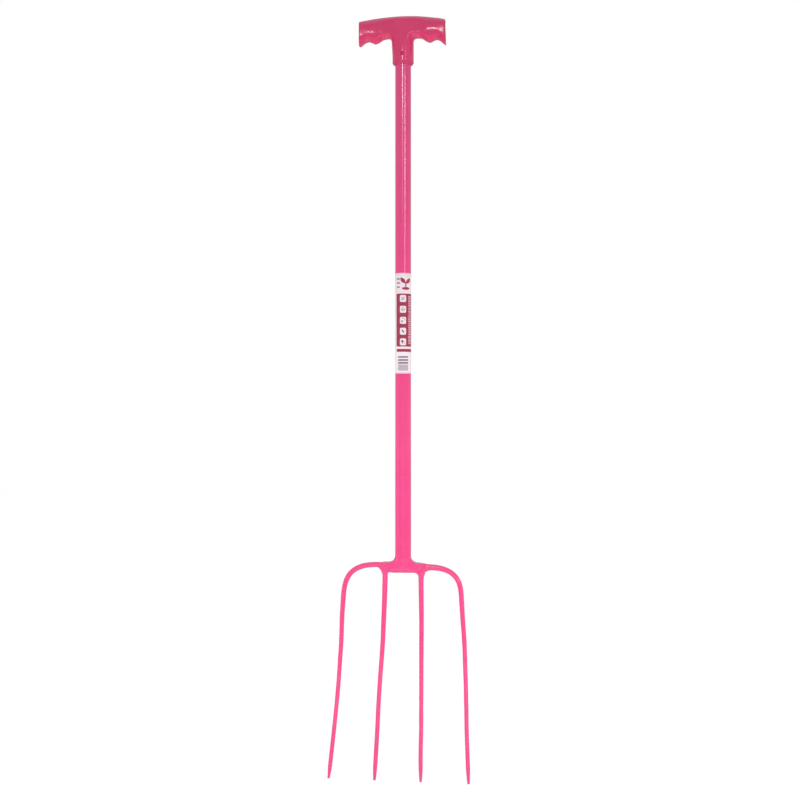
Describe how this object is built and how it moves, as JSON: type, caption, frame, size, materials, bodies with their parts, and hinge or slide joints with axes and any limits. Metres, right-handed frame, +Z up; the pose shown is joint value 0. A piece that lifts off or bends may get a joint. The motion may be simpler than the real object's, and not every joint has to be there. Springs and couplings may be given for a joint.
{
  "type": "manure fork",
  "caption": "Long-tined manure fork with a dished welded steel head, a tubular steel shaft and a moulded T-grip with finger grooves.",
  "frame": {"origin": "on the shaft axis, at the flat underside of the bridge between the two inner tines", "axes": "+Z up the shaft towards the grip, +X across the tines to the right seen from the front, -Y is the front, the hollow side that the tines lean towards"},
  "size_m": [0.2208, 0.0864, 1.2006],
  "materials": {
    "grip_plastic": "semi-gloss moulded plastic",
    "screw_steel": "zinc plated",
    "shaft_paint": "gloss powder coat",
    "head_paint": "gloss powder coat over drawn bar and welds",
    "label_film": "printed film"
  },
  "bodies": {
    "root": {"grip": "grip_plastic", "grip_screw": "screw_steel", "shaft_tube": "shaft_paint", "shaft_label": "label_film", "bridge": "head_paint", "tine_outer_left": "head_paint", "tine_inner_left": "head_paint", "tine_inner_right": "head_paint", "tine_outer_right": "head_paint", "weld_shaft": "head_paint", "weld_outer_left": "head_paint", "weld_inner_left": "head_paint", "weld_inner_right": "head_paint", "weld_outer_right": "head_paint"}
  },
  "joints": []
}
